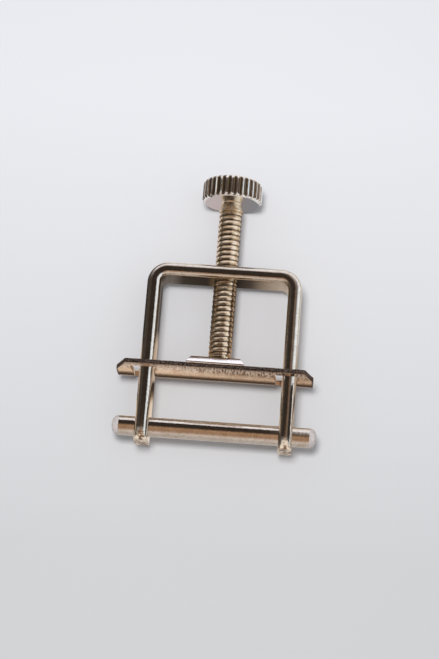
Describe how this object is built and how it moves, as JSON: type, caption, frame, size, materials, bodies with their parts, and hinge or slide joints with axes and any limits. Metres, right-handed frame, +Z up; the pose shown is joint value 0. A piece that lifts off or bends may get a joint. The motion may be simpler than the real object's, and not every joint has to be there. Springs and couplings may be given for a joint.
{
  "type": "tubing pinch clamp",
  "caption": "Screw clamp for flexible tubing: a strap yoke with a fixed cross rod and a trough-shaped jaw that a knurled thumb screw drives towards the rod.",
  "frame": {"origin": "under the middle of the clamp's box, on the surface it lies on", "axes": "+X along the cross rod, +Y along the screw towards the knurled head, +Z up from the surface the clamp lies on"},
  "size_m": [0.0404, 0.055, 0.0121],
  "materials": {
    "nickel_yoke": "bright nickel plate on brass, lightly uneven",
    "nickel_rod": "bright nickel plate on brass",
    "nickel_jaw": "thin nickel plate on brass sheet, sheared edges left rough",
    "nickel_plate": "bright nickel plate on brass",
    "nickel_screw": "bright nickel plate, cut thread and straight knurl"
  },
  "bodies": {
    "frame": {"frame": "nickel_yoke", "cross_rod": "nickel_rod"},
    "jaw": {"jaw": "nickel_jaw", "bridge_plate": "nickel_plate"},
    "screw": {"thumb_screw": "nickel_screw"}
  },
  "joints": [
    {"name": "jaw_slide", "type": "slide", "parent": "frame", "child": "jaw", "axis": [0, 1, 0], "range_m": [-0.0084, 0.0155]},
    {"name": "screw_turn", "type": "hinge", "parent": "jaw", "child": "screw", "pos_m": [0, 0, 0.00607], "axis": [0, 1, 0], "range_deg": [-2858, 5273]}
  ],
  "couplings": [
    {"joint": "screw_turn", "follows": "jaw_slide", "rad_per_m": 5936.9}
  ]
}
